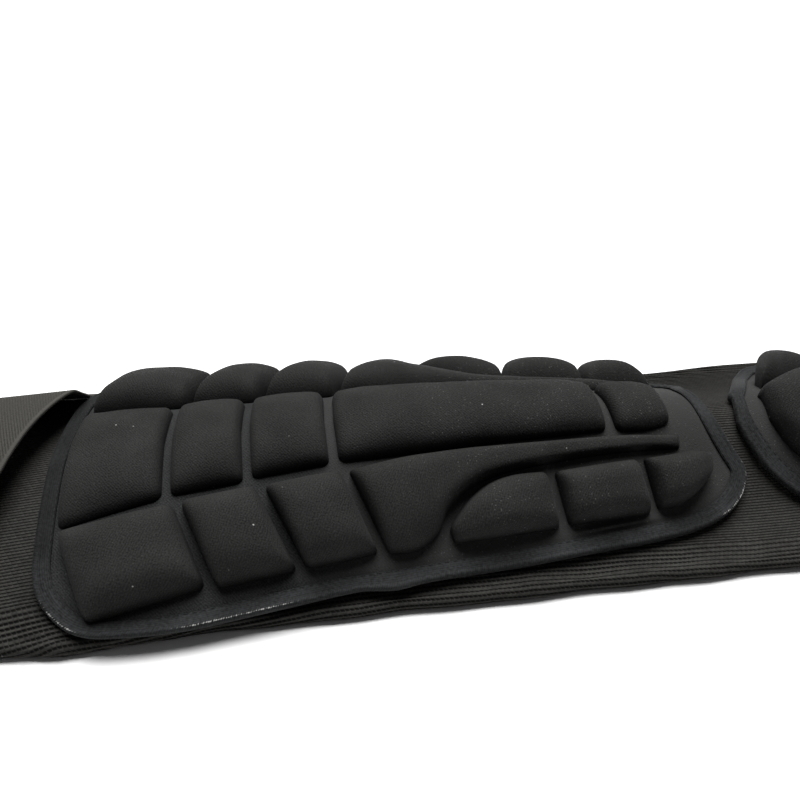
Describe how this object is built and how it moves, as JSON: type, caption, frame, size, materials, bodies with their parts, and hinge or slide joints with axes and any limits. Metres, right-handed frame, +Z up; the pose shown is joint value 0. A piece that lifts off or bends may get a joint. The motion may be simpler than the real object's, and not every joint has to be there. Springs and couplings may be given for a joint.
{
  "type": "shin and instep guard",
  "caption": "Slip-on shin and instep guard lying flat: knitted tube sleeve with an arched padded shin panel, a padded instep panel and a wide elastic strap at the calf end.",
  "frame": {"origin": "middle of the guard's footprint on the surface that it lies on", "axes": "+X along the guard from the calf to the toes, +Y across it, +Z up out of the pads"},
  "size_m": [0.5, 0.1446, 0.045],
  "materials": {
    "knit": "ribbed elastic knit, matt",
    "jersey": "fine jersey over foam, matt",
    "hem": "stitched turned edge, matt",
    "webbing": "fine ribbed elastic, matt"
  },
  "bodies": {
    "root": {"sleeve": "knit", "shin_base": "jersey", "shin_edge": "hem", "shin_pad_centre_1": "jersey", "shin_pad_centre_2": "jersey", "shin_pad_centre_3": "jersey", "shin_pad_centre_4": "jersey", "shin_pad_centre_5": "jersey", "shin_pad_far_1": "jersey", "shin_pad_far_2": "jersey", "shin_pad_far_3": "jersey", "shin_pad_far_4": "jersey", "shin_pad_far_5": "jersey", "shin_pad_far_6": "jersey", "shin_pad_far_7": "jersey", "shin_pad_near_1": "jersey", "shin_pad_near_2": "jersey", "shin_pad_near_3": "jersey", "shin_pad_near_4": "jersey", "shin_pad_near_5": "jersey", "shin_pad_near_6": "jersey", "shin_pad_near_7": "jersey", "instep_base": "jersey", "instep_edge": "hem", "instep_pad_centre_1": "jersey", "instep_pad_centre_2": "jersey", "instep_pad_far_1": "jersey", "instep_pad_far_2": "jersey", "instep_pad_far_3": "jersey", "instep_pad_near_1": "jersey", "instep_pad_near_2": "jersey", "instep_pad_near_3": "jersey", "calf_strap": "webbing"}
  },
  "joints": []
}
